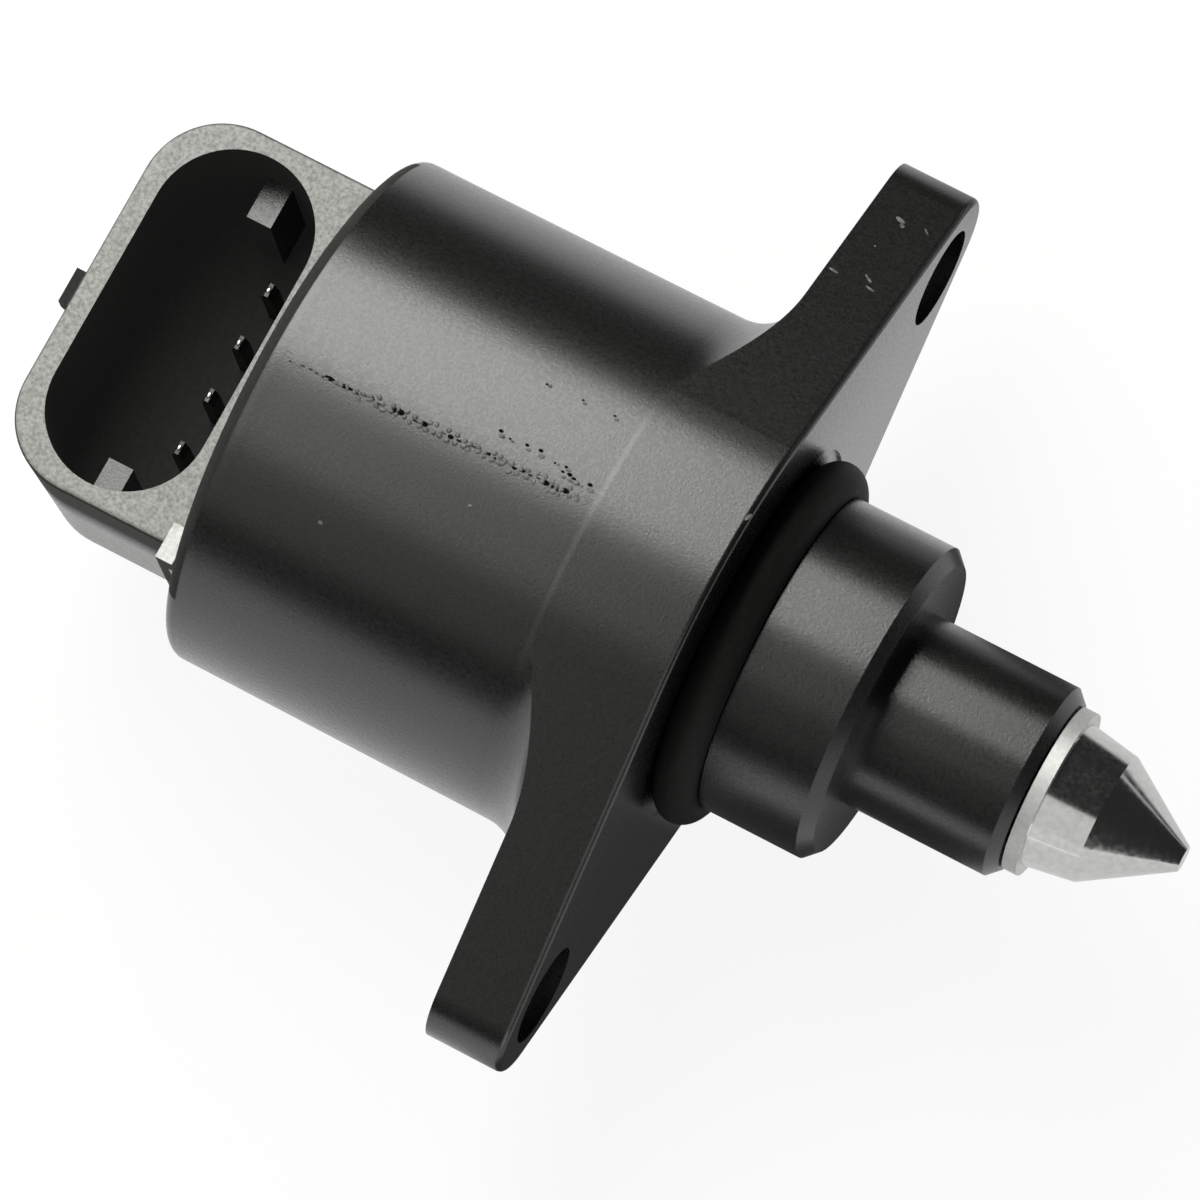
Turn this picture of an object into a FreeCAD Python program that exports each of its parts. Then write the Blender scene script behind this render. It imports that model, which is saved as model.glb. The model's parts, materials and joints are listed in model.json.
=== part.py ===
import FreeCAD, Part
import math
import os
import Sketcher

# Idle control valve: a claw-pole stepper motor in a moulded case turns a nut, and the nut drives
# a lead screw with a metering cone (the pintle) in and out of the nose.
# Millimetres. Origin: valve axis at the flange's mating face. +X to the pintle, +Y along the
# flange's ears, +Z the way the plug goes out of the socket.

doc = FreeCAD.newDocument("idle_control_valve")
dims = doc.addObject("Spreadsheet::Sheet", "dims")

SIZES = [
    ("motor_radius", 14.2, "outside of the stator cans"),
    ("motor_clearance", 0.1, "stator cans to the bore of the case, on the radius"),
    ("body_wall", 2.95, "case wall at the flange"),
    ("body_draft", 0.12, "how much the case radius falls from the flange to the rear edge"),
    ("body_length", 30.0, "mating face to the rear edge of the case"),
    ("body_edge_round", 0.12, "rounding of the rear edge of the case"),
    ("flange_thickness", 5.2, "flange"),
    ("flange_edge_round", 0.4, "rounding of the flange outline at the mating face"),
    ("ear_root_round", 3.6, "concave rounding between the rear of an ear and the case"),
    ("bolt_spacing", 51.0, "between the two bolt holes"),
    ("bolt_hole_radius", 3.25, "clearance hole for an M6 bolt"),
    ("ear_end_margin", 5.4, "bolt hole centre to the end of its ear"),
    ("ear_tip_radius", 4.0, "rounding of the ear's end"),
    ("front_wall", 4.0, "floor of the motor bore to the mating face"),
    ("seal_seat_depth", 0.2, "shallow seat of the nose seal in the mating face"),
    ("seal_seat_margin", 0.3, "seat radius beyond the seal"),
    ("seal_root_radius", 9.5, "groove that the nose seal sits in"),
    ("seal_tube_radius", 1.4, "section of the nose seal"),
    ("seal_play", 0.05, "seal to each side of its groove"),
    ("nose_base_radius", 10.6, "large step of the nose, which locates in the throttle body"),
    ("nose_base_length", 10.2, "mating face to the front of the large step"),
    ("nose_base_chamfer", 0.8, "edge of the large step"),
    ("nose_tip_radius", 6.4, "small step of the nose"),
    ("nose_length", 20.7, "mating face to the front of the nose"),
    ("nose_tip_chamfer", 0.7, "edge of the small step"),
    ("nose_bore_radius", 4.7, "bore of the nose around the spring"),
    ("guide_radius", 5.2, "outside of the guide bush"),
    ("guide_length", 5.0, "guide bush"),
    ("guide_lip", 1.4, "front of the guide bush to the front of the large step"),
    ("guide_play", 0.05, "guide bush to the lead screw, on each side"),
    ("stroke", 8.0, "travel of the pintle"),
    ("screw_radius", 2.0, "lead screw over its thread"),
    ("screw_flat", 1.4, "axis to each of the two flats of the lead screw"),
    ("flat_run_out", 0.6, "flats beyond the guide bush at each end of the stroke"),
    ("thread_play", 0.03, "lead screw to the bore of its nut, on the radius"),
    ("stub_radius", 1.5, "end of the lead screw that is pressed into the pintle"),
    ("stub_length", 6.5, "press length in the pintle"),
    ("stem_radius", 3.0, "stem of the pintle, inside the spring"),
    ("stem_gap", 2.6, "guide bush to the rear of the stem, pintle drawn in"),
    ("collar_gap", 0.15, "nose to the collar of the pintle, pintle drawn in"),
    ("collar_radius", 5.5, "collar of the pintle"),
    ("collar_thickness", 0.95, "collar of the pintle"),
    ("land_rear_radius", 4.8, "tapered land of the pintle at the collar"),
    ("land_front_radius", 4.25, "tapered land of the pintle at the cone"),
    ("land_length", 3.3, "tapered land of the pintle"),
    ("cone_length", 5.3, "metering cone"),
    ("cone_tip_radius", 0.85, "blunt end of the cone"),
    ("wire_radius", 0.4, "spring wire"),
    ("spring_play", 0.4, "spring to the stem, on the radius"),
    ("spring_turns", 7, "turns of the spring"),
    ("spring_end_play", 0.05, "spring to the faces at its two ends"),
    ("bearing_bore_radius", 3.0, "front ball bearing and rear bush, on the rotor's journals"),
    ("bearing_radius", 6.5, "front ball bearing, outside"),
    ("bearing_width", 5.0, "front ball bearing"),
    ("ball_radius", 1.1, "balls"),
    ("ball_play", 0.04, "balls to their grooves and half of that to the cage, on the radius"),
    ("race_shoulder", 0.75, "pitch circle of the balls to each race"),
    ("cage_half_depth", 0.3, "half of the cage's radial depth"),
    ("cage_margin", 0.35, "cage beyond the balls on each side"),
    ("rotor_radius", 7.3, "magnet, outside"),
    ("magnet_bore_radius", 4.4, "magnet, inside"),
    ("air_gap", 0.3, "magnet to the claws of the stator"),
    ("rotor_end_gap", 0.3, "rotor to the parts in front of it and behind it"),
    ("rotor_end_flange", 0.6, "plastic flange at each end of the magnet"),
    ("rotor_flange_inset", 0.4, "end flange below the magnet's outside"),
    ("rotor_overhang", 0.4, "rotor beyond the rear of the stator"),
    ("journal_end_gap", 0.5, "rotor's rear journal to the floor of its bush pocket"),
    ("rotor_bore_radius", 2.35, "way for the lead screw through the rotor"),
    ("nut_radius", 3.4, "drive nut"),
    ("nut_length", 10.0, "drive nut"),
    ("nut_groove_depth", 0.5, "grooves that key the nut in the plastic"),
    ("pole_pairs", 6, "claws on each pole plate"),
    ("pole_plate", 1.0, "sheet of the pole plates and their claws"),
    ("can_wall", 1.0, "outer wall of the stator cans"),
    ("claw_root_half_angle", 12.5, "half of a claw at its root, degrees"),
    ("claw_tip_half_angle", 7.0, "half of a claw at its tip, degrees"),
    ("claw_end_gap", 0.8, "tip of a claw to the plate opposite"),
    ("plate_play", 0.05, "pole plates and bobbins to the parts around them"),
    ("stack_play", 0.1, "stator to the spigot that holds it in"),
    ("bobbin_wall", 0.7, "bobbin"),
    ("bobbin_play", 0.15, "bobbin to the claws and to the can, on the radius"),
    ("winding_inset", 0.4, "winding below the bobbin's flanges"),
    ("cover_plate", 1.2, "rear cover behind the case"),
    ("cover_edge_round", 0.8, "rounding of the rear cover's outside edge"),
    ("cover_spigot_length", 5.0, "spigot of the rear cover inside the case"),
    ("cover_spigot_wall", 1.9, "spigot of the rear cover"),
    ("cover_play", 0.1, "spigot to the bore, on the radius"),
    ("cover_seal_tube", 0.6, "section radius of the cover seal"),
    ("cover_seal_place", 1.6, "rear edge of the case to the middle of the cover seal"),
    ("bush_radius", 4.2, "rear bush, outside"),
    ("bush_wall_play", 0.05, "rotor's rear journal to its bush, on the radius"),
    ("boss_wall", 1.2, "boss of the rear bush"),
    ("washer_thickness", 0.6, "thrust washer"),
    ("washer_radius", 4.8, "thrust washer"),
    ("socket_width", 10.4, "plug socket along X"),
    ("socket_span", 23.2, "plug socket along Y"),
    ("socket_wall", 1.5, "rear wall of the socket"),
    ("socket_end_wall", 1.2, "walls at the ends of the socket"),
    ("socket_corner_radius", 5.2, "rear outside corners of the socket"),
    ("socket_front_wall", 2.3, "socket to the cover plate"),
    ("socket_rim_height", 7.6, "rim of the socket above the valve axis"),
    ("socket_depth", 13.1, "rim to the floor of the socket"),
    ("socket_floor", 1.9, "floor of the socket"),
    ("socket_rim_round", 0.35, "outside edge of the rim"),
    ("socket_base_round", 0.6, "lower edge of the socket"),
    ("socket_draft", 2.0, "draft of the socket's outside, degrees"),
    ("key_drop", 5.2, "rim to the tops of the polarising ribs"),
    ("key_width", 1.7, "polarising ribs along X"),
    ("key_reach", 2.9, "polarising ribs from the end walls inwards"),
    ("latch_width", 2.4, "latch nub for the plug"),
    ("latch_offset", 1.15, "latch nub off the middle of the socket"),
    ("latch_proud", 0.65, "latch nub beyond the rear wall"),
    ("latch_height", 3.2, "latch nub below the rim"),
    ("lug_size", 1.2, "square lug at one corner of the socket"),
    ("lug_rise", 1.5, "corner lug above the rim"),
    ("terminal_pitch", 3.8, "between neighbouring terminals"),
    ("terminal_offset", 2.1, "terminals nearer to the case than the middle of the socket"),
    ("terminal_width", 0.9, "terminal along Y"),
    ("terminal_thickness", 0.8, "terminal along X, and the depth of its tail"),
    ("terminal_height", 5.4, "tip of a terminal above the socket's floor"),
    ("terminal_taper", 0.9, "pointed part of a terminal"),
    ("terminal_tail_drop", 0.8, "socket's floor to the middle of the tail"),
    ("terminal_tail", 3.0, "tail of a terminal inside the case"),
    ("insert_play", 0.02, "terminals to the plastic around them"),
]

for row, (alias, size, meaning) in enumerate(SIZES, start=1):
    dims.set(f"A{row}", meaning)
    dims.set(f"B{row}", str(size))
    dims.setAlias(f"B{row}", alias)
doc.recompute()

BALLS = 7
TERMINALS = 4

# Sizes that follow from the sheet, written as expressions.
# Radii
BORE = "(dims.motor_radius + dims.motor_clearance)"
HUB = f"({BORE} + dims.body_wall)"
BODY_REAR = f"({HUB} - dims.body_draft)"
DRAFT_PER_MM = "(dims.body_draft / (dims.body_length - dims.flange_thickness))"
ROOT_FOOT = f"({HUB} - dims.ear_root_round * {DRAFT_PER_MM})"
SEAL_MIDDLE = "(dims.seal_root_radius + dims.seal_tube_radius)"
SEAL_SEAT = f"({SEAL_MIDDLE} + dims.seal_tube_radius + dims.seal_seat_margin)"
SPRING_MIDDLE = "(dims.stem_radius + dims.spring_play + dims.wire_radius)"
BALL_PITCH = "((dims.bearing_bore_radius + dims.bearing_radius) / 2)"
CLAW_IN = "(dims.rotor_radius + dims.air_gap)"
CLAW_OUT = f"({CLAW_IN} + dims.pole_plate)"
CAN_IN = "(dims.motor_radius - dims.can_wall)"
BOBBIN_IN = f"({CLAW_OUT} + dims.bobbin_play)"
BOBBIN_OUT = f"({CAN_IN} - dims.bobbin_play)"
SPIGOT = f"({BORE} - dims.cover_play)"
SPIGOT_IN = f"({SPIGOT} - dims.cover_spigot_wall)"
COVER_SEAL_MIDDLE = f"({BORE} - dims.cover_seal_tube - dims.insert_play)"
COVER_SEAL_ROOT = f"({COVER_SEAL_MIDDLE} - dims.cover_seal_tube - dims.insert_play)"
BUSH_IN = "(dims.bearing_bore_radius + dims.bush_wall_play)"
BOSS = "(dims.bush_radius + dims.boss_wall)"
ROTOR_FLANGE = "(dims.rotor_radius - dims.rotor_flange_inset)"
NUT_GROOVE = "(dims.nut_radius - dims.nut_groove_depth)"

# Places along X
REAR_END = "(-dims.body_length)"
FLANGE_REAR = "(-dims.flange_thickness)"
ROOT_REAR = f"({FLANGE_REAR} - dims.ear_root_round)"
FLOOR = "(-dims.front_wall)"
SEAL_FLOOR = "(-dims.seal_seat_depth)"
SEAL_X = f"({SEAL_FLOOR} + dims.seal_play + dims.seal_tube_radius)"
SEAL_FRONT = f"({SEAL_X} + dims.seal_tube_radius + dims.seal_play)"
BEARING_FRONT = f"({FLOOR} + dims.bearing_width)"
BEARING_MIDDLE = f"({FLOOR} + dims.bearing_width / 2)"
GUIDE_FRONT = "(dims.nose_base_length - dims.guide_lip)"
GUIDE_REAR = f"({GUIDE_FRONT} - dims.guide_length)"
STEM_REAR = f"({GUIDE_FRONT} + dims.stem_gap)"
STUB_END = f"({STEM_REAR} + dims.stub_length)"
COLLAR_REAR = "(dims.nose_length + dims.collar_gap)"
SPRING_REAR = f"({GUIDE_FRONT} + dims.wire_radius + dims.spring_end_play)"
SPRING_PITCH = (
    f"(({COLLAR_REAR} - dims.wire_radius - dims.spring_end_play - {SPRING_REAR}) / dims.spring_turns)"
)
COLLAR_FRONT = f"({COLLAR_REAR} + dims.collar_thickness)"
LAND_FRONT = f"({COLLAR_FRONT} + dims.land_length)"
CONE_TIP = f"({LAND_FRONT} + dims.cone_length)"
SPIGOT_FRONT = f"({REAR_END} + dims.cover_spigot_length)"
STACK_REAR = f"({SPIGOT_FRONT} + dims.stack_play)"
PHASE = f"(({FLOOR} - {STACK_REAR}) / 2)"
MIDDLE = f"({FLOOR} - {PHASE})"
ROTOR_FRONT = f"({FLOOR} - dims.rotor_end_gap)"
ROTOR_REAR = f"({STACK_REAR} - dims.rotor_overhang)"
MAGNET_FRONT = f"({ROTOR_FRONT} - dims.rotor_end_flange)"
MAGNET_REAR = f"({ROTOR_REAR} + dims.rotor_end_flange)"
WASHER_FRONT = f"({ROTOR_REAR} - dims.rotor_end_gap)"
BUSH_FRONT = f"({WASHER_FRONT} - dims.washer_thickness)"
NUT_FRONT = f"({MIDDLE} + dims.nut_length / 2)"
NUT_REAR = f"({MIDDLE} - dims.nut_length / 2)"
FLAT_REAR = f"({GUIDE_REAR} - dims.stroke - dims.flat_run_out)"
FLAT_FRONT = f"({GUIDE_FRONT} + dims.flat_run_out)"
PLATE_REAR = f"({REAR_END} - dims.cover_plate)"
SOCKET_FRONT = f"({PLATE_REAR} - dims.socket_front_wall)"
SOCKET_REAR = f"({SOCKET_FRONT} - dims.socket_width)"
SHROUD_REAR = f"({SOCKET_REAR} - dims.socket_wall)"
TERMINAL_X = f"(({SOCKET_FRONT} + {SOCKET_REAR}) / 2 + dims.terminal_offset)"
TAIL_END = f"({REAR_END} + dims.terminal_tail)"

# Places along Y and Z
BOLT_Y = "(dims.bolt_spacing / 2)"
EAR_TIP_Y = f"({BOLT_Y} + dims.ear_end_margin - dims.ear_tip_radius)"
SHROUD_HALF = "(dims.socket_span / 2 + dims.socket_end_wall)"
RIM = "dims.socket_rim_height"
SOCKET_FLOOR = "(dims.socket_rim_height - dims.socket_depth)"
SHROUD_BASE = f"({SOCKET_FLOOR} - dims.socket_floor)"
TAIL_Z = f"({SOCKET_FLOOR} - dims.terminal_tail_drop)"
TERMINAL_TIP = f"({SOCKET_FLOOR} + dims.terminal_height)"

parts = []


def value(expression):
    """Number that an expression gives with the sheet's present sizes."""
    found = dims.evalExpression(expression)
    return float(getattr(found, "Value", found))


def new_body(label):
    body = doc.addObject("PartDesign::Body", label)
    body.Label = label
    parts.append(body)
    return body


def sketch_on(body, role, offset=None):
    """Empty sketch on one of the body's base planes, or at an offset along that plane's normal."""
    sketch = body.newObject("Sketcher::SketchObject", f"{body.Name}_sketch")
    base = [f for f in body.Origin.OriginFeatures if f.Role == role][0]
    sketch.AttachmentSupport = [(base, "")]
    sketch.MapMode = "FlatFace"
    if offset:
        sketch.setExpression("AttachmentOffset.Base.z", offset)
    return sketch


def bind(sketch, kind, *where):
    """Constraint whose value is an expression, the last of the arguments."""
    *geometry, expression = where
    index = sketch.addConstraint(Sketcher.Constraint(kind, *geometry, value(expression)))
    sketch.setExpression(f"Constraints[{index}]", expression)


def place_point(sketch, geometry, point, across, up):
    bind(sketch, "DistanceX", -1, 1, geometry, point, across)
    bind(sketch, "DistanceY", -1, 1, geometry, point, up)


def add_polygon(sketch, points):
    """Closed outline of straight lines through points given as pairs of expressions."""
    spots = [FreeCAD.Vector(value(a), value(b), 0) for a, b in points]
    lines = []
    for here, there in zip(spots, spots[1:] + spots[:1]):
        lines.append(sketch.addGeometry(Part.LineSegment(here, there), False))
    for line, after in zip(lines, lines[1:] + lines[:1]):
        sketch.addConstraint(Sketcher.Constraint("Coincident", line, 2, after, 1))
    for line, (across, up) in zip(lines, points):
        place_point(sketch, line, 1, across, up)


def add_rectangle(sketch, left, right, low, high):
    add_polygon(sketch, [(left, low), (right, low), (right, high), (left, high)])


def add_circle(sketch, across, up, radius):
    centre = FreeCAD.Vector(value(across), value(up), 0)
    ring = sketch.addGeometry(Part.Circle(centre, FreeCAD.Vector(0, 0, 1), value(radius)), False)
    place_point(sketch, ring, 3, across, up)
    bind(sketch, "Radius", ring, radius)


def add_smooth_loop(sketch, pieces):
    """Closed outline of lines and arcs that run into each other with no corner."""
    loop = [sketch.addGeometry(piece, False) for piece in pieces]
    for piece, after in zip(loop, loop[1:] + loop[:1]):
        sketch.addConstraint(Sketcher.Constraint("Tangent", piece, 2, after, 1))
    return loop


def arc(across, up, radius, start, end):
    """Arc from start to end, in degrees, anticlockwise."""
    ring = Part.Circle(FreeCAD.Vector(across, up, 0), FreeCAD.Vector(0, 0, 1), radius)
    return Part.ArcOfCircle(ring, math.radians(start), math.radians(end))


def line(from_x, from_y, to_x, to_y):
    return Part.LineSegment(FreeCAD.Vector(from_x, from_y, 0), FreeCAD.Vector(to_x, to_y, 0))


def revolve(body, points, kind="Revolution"):
    """Turned shape: pairs of a place along X and a radius, turned about the valve axis."""
    sketch = sketch_on(body, "XY_Plane")
    add_polygon(sketch, points)
    return turn(body, sketch, kind)


def turn(body, sketch, kind):
    feature = body.newObject(f"PartDesign::{kind}", f"{body.Name}_{kind.lower()}")
    feature.Profile = sketch
    feature.ReferenceAxis = (sketch, ["H_Axis"])
    feature.Angle = 360
    doc.recompute()
    return feature


def pad(body, sketch, length, both_ways=False, backwards=False):
    feature = body.newObject("PartDesign::Pad", f"{body.Name}_pad")
    feature.Profile = sketch
    feature.setExpression("Length", length)
    feature.Midplane = both_ways
    feature.Reversed = backwards
    doc.recompute()
    return feature


def pocket(body, sketch, length, both_ways=False, backwards=False):
    feature = body.newObject("PartDesign::Pocket", f"{body.Name}_pocket")
    feature.Profile = sketch
    feature.setExpression("Length", length)
    feature.Midplane = both_ways
    feature.Reversed = backwards
    doc.recompute()
    return feature


def repeat_around_axis(body, feature, count):
    """Copies of a feature spread evenly about the valve axis."""
    pattern = body.newObject("PartDesign::PolarPattern", f"{body.Name}_pattern")
    pattern.Originals = [feature]
    axis = [f for f in body.Origin.OriginFeatures if f.Role == "X_Axis"][0]
    pattern.Axis = (axis, [""])
    pattern.Angle = 360
    pattern.setExpression("Occurrences", count)
    body.Tip = pattern
    doc.recompute()
    return pattern


def round_edges(body, base, radius, wanted):
    """Fillet on the edges of a feature that a test picks."""
    names = [f"Edge{n}" for n, edge in enumerate(base.Shape.Edges, start=1) if wanted(edge)]
    feature = body.newObject("PartDesign::Fillet", f"{body.Name}_fillet")
    feature.Base = (base, names)
    feature.setExpression("Radius", radius)
    doc.recompute()
    return feature


def close(first, second):
    return abs(first - second) < 1e-4


def middle_of(edge):
    return edge.valueAt((edge.FirstParameter + edge.LastParameter) / 2)


def flange_outline(sketch):
    """Two-bolt flange: ears with straight sides that touch the round of the case."""
    hub, tip, reach = value(HUB), value("dims.ear_tip_radius"), value(EAR_TIP_Y)
    lean = math.degrees(math.asin((hub - tip) / reach))
    side_y, side_z = math.sin(math.radians(lean)), math.cos(math.radians(lean))
    on_hub = (hub * side_y, hub * side_z)
    on_tip = (reach + tip * side_y, tip * side_z)
    right_tip, upper_left, left_tip, lower_right = 1, 3, 5, 7
    loop = add_smooth_loop(sketch, [
        line(on_hub[0], -on_hub[1], on_tip[0], -on_tip[1]),
        arc(reach, 0, tip, lean - 90, 90 - lean),
        line(on_tip[0], on_tip[1], on_hub[0], on_hub[1]),
        arc(0, 0, hub, 90 - lean, 90 + lean),
        line(-on_hub[0], on_hub[1], -on_tip[0], on_tip[1]),
        arc(-reach, 0, tip, 90 + lean, 270 - lean),
        line(-on_tip[0], -on_tip[1], -on_hub[0], -on_hub[1]),
        arc(0, 0, hub, 270 - lean, 270 + lean),
    ])
    for end, where in ((right_tip, EAR_TIP_Y), (left_tip, f"(-{EAR_TIP_Y})")):
        place_point(sketch, loop[end], 3, where, "0")
        bind(sketch, "Radius", loop[end], "dims.ear_tip_radius")
    for side in (upper_left, lower_right):
        place_point(sketch, loop[side], 3, "0", "0")
        bind(sketch, "Radius", loop[side], HUB)


def add_ear_roots(body):
    """Concave rounding where the rear of each ear runs into the case, trimmed to the flange's outline."""
    core, top = f"({HUB} - dims.body_wall / 2)", f"({ROOT_FOOT} + dims.ear_root_round)"
    rear, front, low, high = value(ROOT_REAR), value(FLANGE_REAR), value(core), value(top)
    profile = sketch_on(body, "XY_Plane")
    inside, face, hollow, foot = (profile.addGeometry(piece, False) for piece in (
        line(rear, low, front, low),
        line(front, low, front, high),
        arc(rear, high, value("dims.ear_root_round"), 270, 360),
        line(rear, value(ROOT_FOOT), rear, low),
    ))
    for first, second in (((inside, 2), (face, 1)), ((face, 2), (hollow, 2)),
                          ((hollow, 1), (foot, 1)), ((foot, 2), (inside, 1))):
        profile.addConstraint(Sketcher.Constraint("Coincident", *first, *second))
    place_point(profile, inside, 1, ROOT_REAR, core)
    place_point(profile, inside, 2, FLANGE_REAR, core)
    place_point(profile, hollow, 1, ROOT_REAR, ROOT_FOOT)
    place_point(profile, hollow, 2, FLANGE_REAR, top)
    bind(profile, "Radius", hollow, "dims.ear_root_round")
    turn(body, profile, "Revolution")
    trim = sketch_on(body, "YZ_Plane", FLANGE_REAR)
    flange_outline(trim)
    add_circle(trim, "0", "0", "dims.bolt_spacing")
    pocket(body, trim, "dims.ear_root_round")


def make_valve_body():
    body = new_body("valve_body")
    revolve(body, [
        (REAR_END, BODY_REAR),
        (FLANGE_REAR, HUB),
        ("0", HUB),
        ("0", SEAL_SEAT),
        (SEAL_FLOOR, SEAL_SEAT),
        (SEAL_FLOOR, "dims.seal_root_radius"),
        (SEAL_FRONT, "dims.seal_root_radius"),
        (SEAL_FRONT, "dims.nose_base_radius"),
        ("dims.nose_base_length - dims.nose_base_chamfer", "dims.nose_base_radius"),
        ("dims.nose_base_length", "dims.nose_base_radius - dims.nose_base_chamfer"),
        ("dims.nose_base_length", "dims.nose_tip_radius"),
        ("dims.nose_length - dims.nose_tip_chamfer", "dims.nose_tip_radius"),
        ("dims.nose_length", "dims.nose_tip_radius - dims.nose_tip_chamfer"),
        ("dims.nose_length", "dims.nose_bore_radius"),
        (GUIDE_FRONT, "dims.nose_bore_radius"),
        (GUIDE_FRONT, "dims.guide_radius"),
        (BEARING_FRONT, "dims.guide_radius"),
        (BEARING_FRONT, "dims.bearing_radius"),
        (FLOOR, "dims.bearing_radius"),
        (FLOOR, BORE),
        (REAR_END, BORE),
    ])
    outline = sketch_on(body, "YZ_Plane")
    flange_outline(outline)
    add_circle(outline, "0", "0", f"{HUB} - dims.body_wall / 2")
    pad(body, outline, "dims.flange_thickness", backwards=True)
    add_ear_roots(body)
    holes = sketch_on(body, "YZ_Plane")
    for side in ("", "-"):
        add_circle(holes, f"{side}{BOLT_Y}", "0", "dims.bolt_hole_radius")
    flange = pocket(body, holes, "dims.flange_thickness")

    def on_flange_rim(edge):
        spot = middle_of(edge)
        on_hole = math.hypot(abs(spot.y) - value(BOLT_Y), spot.z) < value("dims.bolt_hole_radius") + 0.01
        outside = math.hypot(spot.y, spot.z) > value(HUB) - 0.01
        return close(spot.x, 0) and close(edge.BoundBox.XLength, 0) and outside and not on_hole

    rounded = round_edges(body, flange, "dims.flange_edge_round", on_flange_rim)

    def on_rear_edge(edge):
        spot = middle_of(edge)
        return close(spot.x, value(REAR_END)) and math.hypot(spot.y, spot.z) > value(BORE) + 0.01

    round_edges(body, rounded, "dims.body_edge_round", on_rear_edge)
    return body


def socket_outline(sketch):
    """Outside of the plug socket: rounded at the rear, square against the cover plate."""
    rear, front = value(SHROUD_REAR), value(f"{PLATE_REAR} + dims.cover_plate / 2")
    half, corner = value(SHROUD_HALF), value("dims.socket_corner_radius")
    sides = [
        line(front, -half, front, half),
        line(front, half, rear + corner, half),
        arc(rear + corner, half - corner, corner, 90, 180),
        line(rear, half - corner, rear, corner - half),
        arc(rear + corner, corner - half, corner, 180, 270),
        line(rear + corner, -half, front, -half),
    ]
    loop = [sketch.addGeometry(side, False) for side in sides]
    square = ((5, 0), (0, 1))
    smooth = ((1, 2), (2, 3), (3, 4), (4, 5))
    for first, second in square:
        sketch.addConstraint(Sketcher.Constraint("Coincident", loop[first], 2, loop[second], 1))
    for first, second in smooth:
        sketch.addConstraint(Sketcher.Constraint("Tangent", loop[first], 2, loop[second], 1))
    place_point(sketch, loop[0], 1, f"{PLATE_REAR} + dims.cover_plate / 2", f"(-{SHROUD_HALF})")
    place_point(sketch, loop[0], 2, f"{PLATE_REAR} + dims.cover_plate / 2", SHROUD_HALF)
    for corner_arc, sign in ((2, ""), (4, "-")):
        across = f"{SHROUD_REAR} + dims.socket_corner_radius"
        up = f"{sign}({SHROUD_HALF} - dims.socket_corner_radius)"
        place_point(sketch, loop[corner_arc], 3, across, up)
        bind(sketch, "Radius", loop[corner_arc], "dims.socket_corner_radius")


def socket_opening(sketch):
    """Stadium of the plug socket, its long axis along Y."""
    across, half_width = value(f"({SOCKET_FRONT} + {SOCKET_REAR}) / 2"), value("dims.socket_width / 2")
    straight = value("(dims.socket_span - dims.socket_width) / 2")
    loop = add_smooth_loop(sketch, [
        line(across + half_width, -straight, across + half_width, straight),
        arc(across, straight, half_width, 0, 180),
        line(across - half_width, straight, across - half_width, -straight),
        arc(across, -straight, half_width, 180, 360),
    ])
    for end, sign in ((1, ""), (3, "-")):
        up = f"{sign}((dims.socket_span - dims.socket_width) / 2)"
        place_point(sketch, loop[end], 3, f"({SOCKET_FRONT} + {SOCKET_REAR}) / 2", up)
        bind(sketch, "Radius", loop[end], "dims.socket_width / 2")


def terminal_y(index):
    return f"(({2 * index - TERMINALS + 1} / 2) * dims.terminal_pitch)"


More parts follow.
